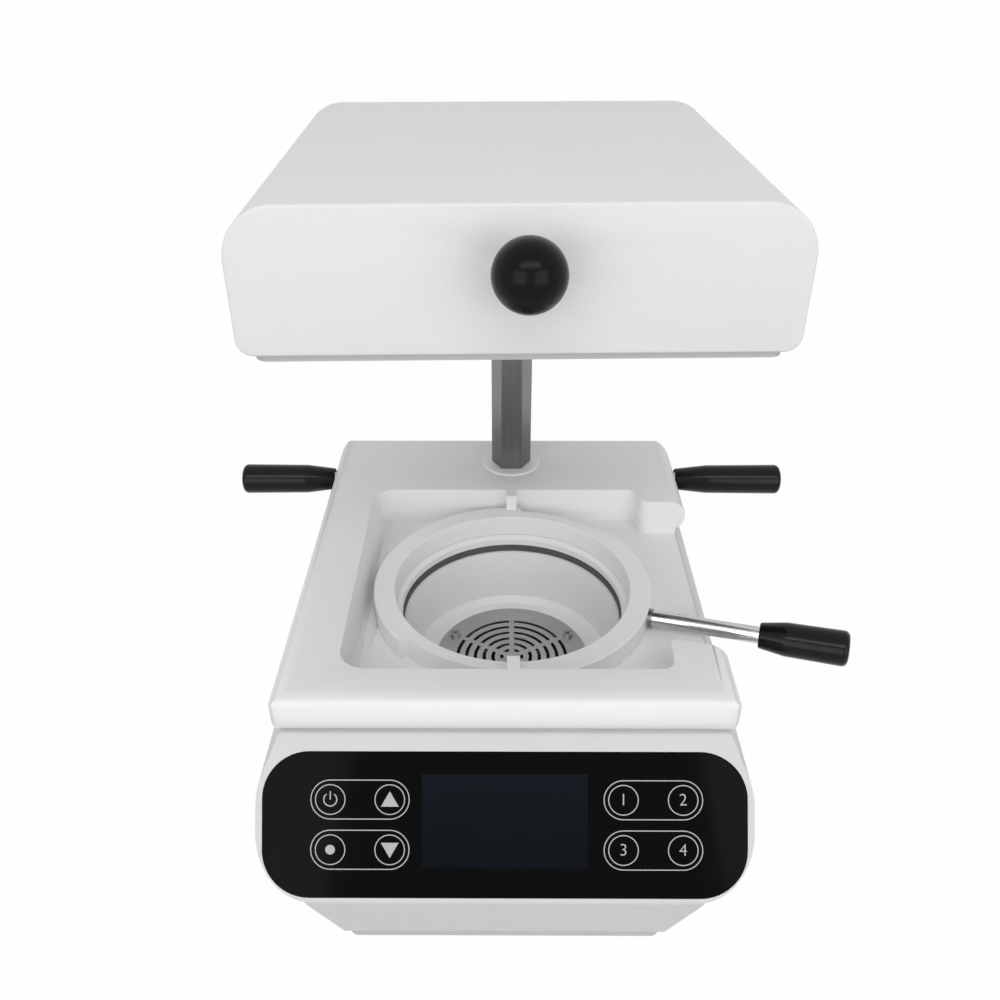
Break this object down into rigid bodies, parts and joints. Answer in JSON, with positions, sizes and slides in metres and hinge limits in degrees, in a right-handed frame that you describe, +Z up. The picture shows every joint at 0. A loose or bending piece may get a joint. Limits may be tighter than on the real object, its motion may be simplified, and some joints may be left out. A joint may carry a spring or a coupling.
{
  "type": "dental vacuum former",
  "caption": "Bench-top dental vacuum former: white base with sloped black touch panel, film carriage and clamp ring with lever over a model pot, and a heater head that swings on a post.",
  "frame": {"origin": "centre of the bounding box on the table plane, under the feet", "axes": "+Z up, front panel towards -Y, +X to the right seen from the front"},
  "size_m": [0.302, 0.2494, 0.312],
  "materials": {
    "white_shell": "satin",
    "white_head": "fine texture coat",
    "grey_sheet": "satin",
    "white_ring": "gloss",
    "black_glass": "polished",
    "display": "gloss",
    "board": "solder mask",
    "black_rubber": "matte",
    "grey_rubber": "matte",
    "screw_steel": "bright",
    "stainless": "brushed",
    "chrome": "polished",
    "aluminium": "satin",
    "heater_sheath": "heat tinted",
    "black_grip": "satin",
    "black_plastic": "matte",
    "black_ball": "gloss",
    "bronze": "machined",
    "nylon": "matte",
    "steatite": "matte"
  },
  "bodies": {
    "base": {"base_shell": "white_shell", "base_floor": "grey_sheet", "floor_screws": "screw_steel", "feet": "black_rubber", "foot_screws": "screw_steel", "front_glass": "black_glass", "display_module": "display", "touch_board": "board", "model_pot": "white_ring", "pot_seal": "grey_rubber", "grille_plate": "stainless", "grille_screws": "screw_steel", "motor_gasket": "black_rubber", "fan_housing": "aluminium", "motor_can": "aluminium", "motor_mounts": "black_rubber", "power_board": "board", "power_inlet": "black_plastic", "switch_frame": "black_plastic", "hex_post": "stainless", "post_socket": "aluminium", "socket_screws": "screw_steel", "thrust_washer": "nylon", "retaining_washer": "screw_steel", "retaining_screw": "screw_steel"},
    "impeller": {"fan_impeller": "aluminium"},
    "rocker": {"power_rocker": "black_plastic"},
    "carriage": {"carriage_shell": "white_shell", "carriage_plate": "grey_sheet", "carriage_screws": "screw_steel", "film_seat": "white_ring", "post_bush": "nylon", "friction_pad": "nylon", "pad_screw": "screw_steel", "handle_studs": "chrome", "left_grip": "black_grip", "right_grip": "black_grip"},
    "clamp": {"clamp_ring": "white_ring", "ring_gasket": "grey_rubber", "lever_sleeve": "stainless", "lever_rod": "chrome", "lever_grip": "black_grip"},
    "head": {"head_shell": "white_head", "head_plate": "grey_sheet", "head_screws": "screw_steel", "reflector": "aluminium", "heater_element": "heater_sheath", "heater_supports": "steatite", "heat_shield": "aluminium", "terminal_block": "steatite", "head_hub": "aluminium", "hub_bush": "bronze", "knob_stud": "chrome", "ball_knob": "black_ball"}
  },
  "joints": [
    {"name": "carriage_lift", "type": "slide", "parent": "base", "child": "carriage", "axis": [0, 0, 1], "range_m": [0, 0.12]},
    {"name": "ring_lock", "type": "hinge", "parent": "carriage", "child": "clamp", "pos_m": [0, -0.00347, 0.112], "axis": [0, 0, 1], "range_deg": [-8, 40]},
    {"name": "heater_swing", "type": "hinge", "parent": "base", "child": "head", "pos_m": [0, 0.09603, 0.276], "axis": [0, 0, 1], "range_deg": [-93, 87]},
    {"name": "impeller_spin", "type": "hinge", "parent": "base", "child": "impeller", "pos_m": [0, -0.00347, 0.05], "axis": [0, 0, 1], "continuous": true},
    {"name": "rocker_tilt", "type": "hinge", "parent": "base", "child": "rocker", "pos_m": [0.028, 0.11603, 0.058], "axis": [1, 0, 0], "range_deg": [-10, 10]}
  ]
}
